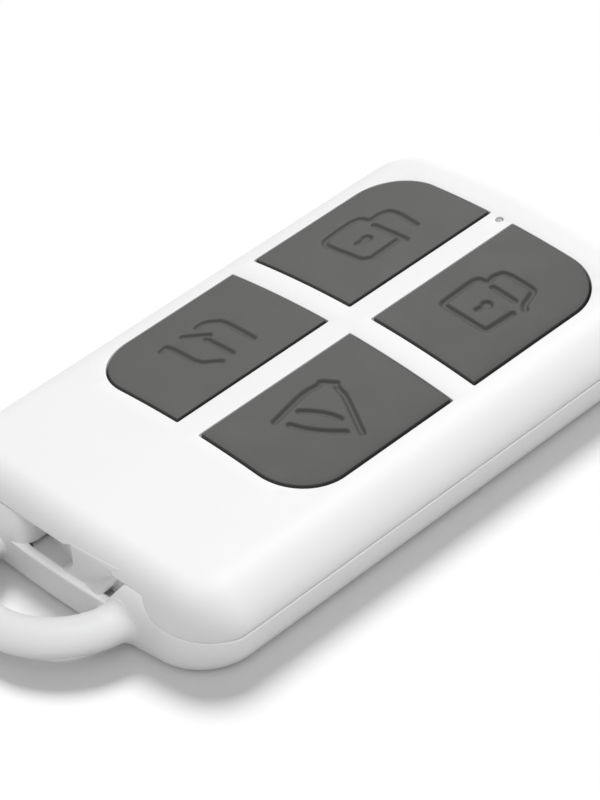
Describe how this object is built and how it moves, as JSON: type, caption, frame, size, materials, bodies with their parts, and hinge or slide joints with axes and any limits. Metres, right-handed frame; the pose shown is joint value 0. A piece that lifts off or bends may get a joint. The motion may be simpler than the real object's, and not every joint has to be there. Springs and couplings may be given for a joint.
{
  "type": "alarm key fob",
  "caption": "Flat white alarm remote with a crowned front, dark engraved keys that press down, a status light pinhole and a round key loop moulded on one end.",
  "frame": {"origin": "middle of the outline, key loop included, on the flat rear face", "axes": "+X across the width to the right, +Y along the length from the key loop to the status light, +Z out of the keys"},
  "size_m": [0.033, 0.0652, 0.0079],
  "materials": {
    "shell_plastic": "satin white moulded ABS",
    "key_plastic": "satin dark grey, engraved pictograms",
    "clear_plastic": "clear polycarbonate, polished",
    "board_laminate": "green solder mask on glass-fibre laminate",
    "switch_body": "black nylon",
    "plunger_plastic": "pale nylon",
    "led_package": "clear lens over a pale base",
    "cell_steel": "nickel-plated steel",
    "clip_steel": "spring steel, nickel-plated",
    "leaf_brass": "phosphor bronze, gold flash",
    "black_epoxy": "black moulded epoxy",
    "can_steel": "plated metal can",
    "chip_ceramic": "fired ceramic chips",
    "antenna_copper": "bare copper"
  },
  "bodies": {
    "case": {"front_shell": "shell_plastic", "rear_shell": "shell_plastic", "light_pipe": "clear_plastic", "circuit_board": "board_laminate", "switch_disarm": "switch_body", "switch_arm": "switch_body", "switch_home_arm": "switch_body", "switch_alarm": "switch_body", "status_led": "led_package", "coin_cell": "cell_steel", "positive_clip": "clip_steel", "negative_leaf": "leaf_brass", "encoder_chip": "black_epoxy", "saw_resonator": "can_steel", "rf_transistor": "black_epoxy", "chip_passives": "chip_ceramic", "loop_antenna": "antenna_copper"},
    "disarm_key": {"key_disarm": "key_plastic", "plunger_disarm": "plunger_plastic"},
    "arm_key": {"key_arm": "key_plastic", "plunger_arm": "plunger_plastic"},
    "home_arm_key": {"key_home_arm": "key_plastic", "plunger_home_arm": "plunger_plastic"},
    "alarm_key": {"key_alarm": "key_plastic", "plunger_alarm": "plunger_plastic"}
  },
  "joints": [
    {"name": "disarm_press", "type": "slide", "parent": "case", "child": "disarm_key", "axis": [0, 0, -1], "range_m": [0, 0.00025], "stiffness_N_per_m": 6000},
    {"name": "arm_press", "type": "slide", "parent": "case", "child": "arm_key", "axis": [0, 0, -1], "range_m": [0, 0.00025], "stiffness_N_per_m": 6000},
    {"name": "home_arm_press", "type": "slide", "parent": "case", "child": "home_arm_key", "axis": [0, 0, -1], "range_m": [0, 0.00025], "stiffness_N_per_m": 6000},
    {"name": "alarm_press", "type": "slide", "parent": "case", "child": "alarm_key", "axis": [0, 0, -1], "range_m": [0, 0.00025], "stiffness_N_per_m": 6000}
  ]
}
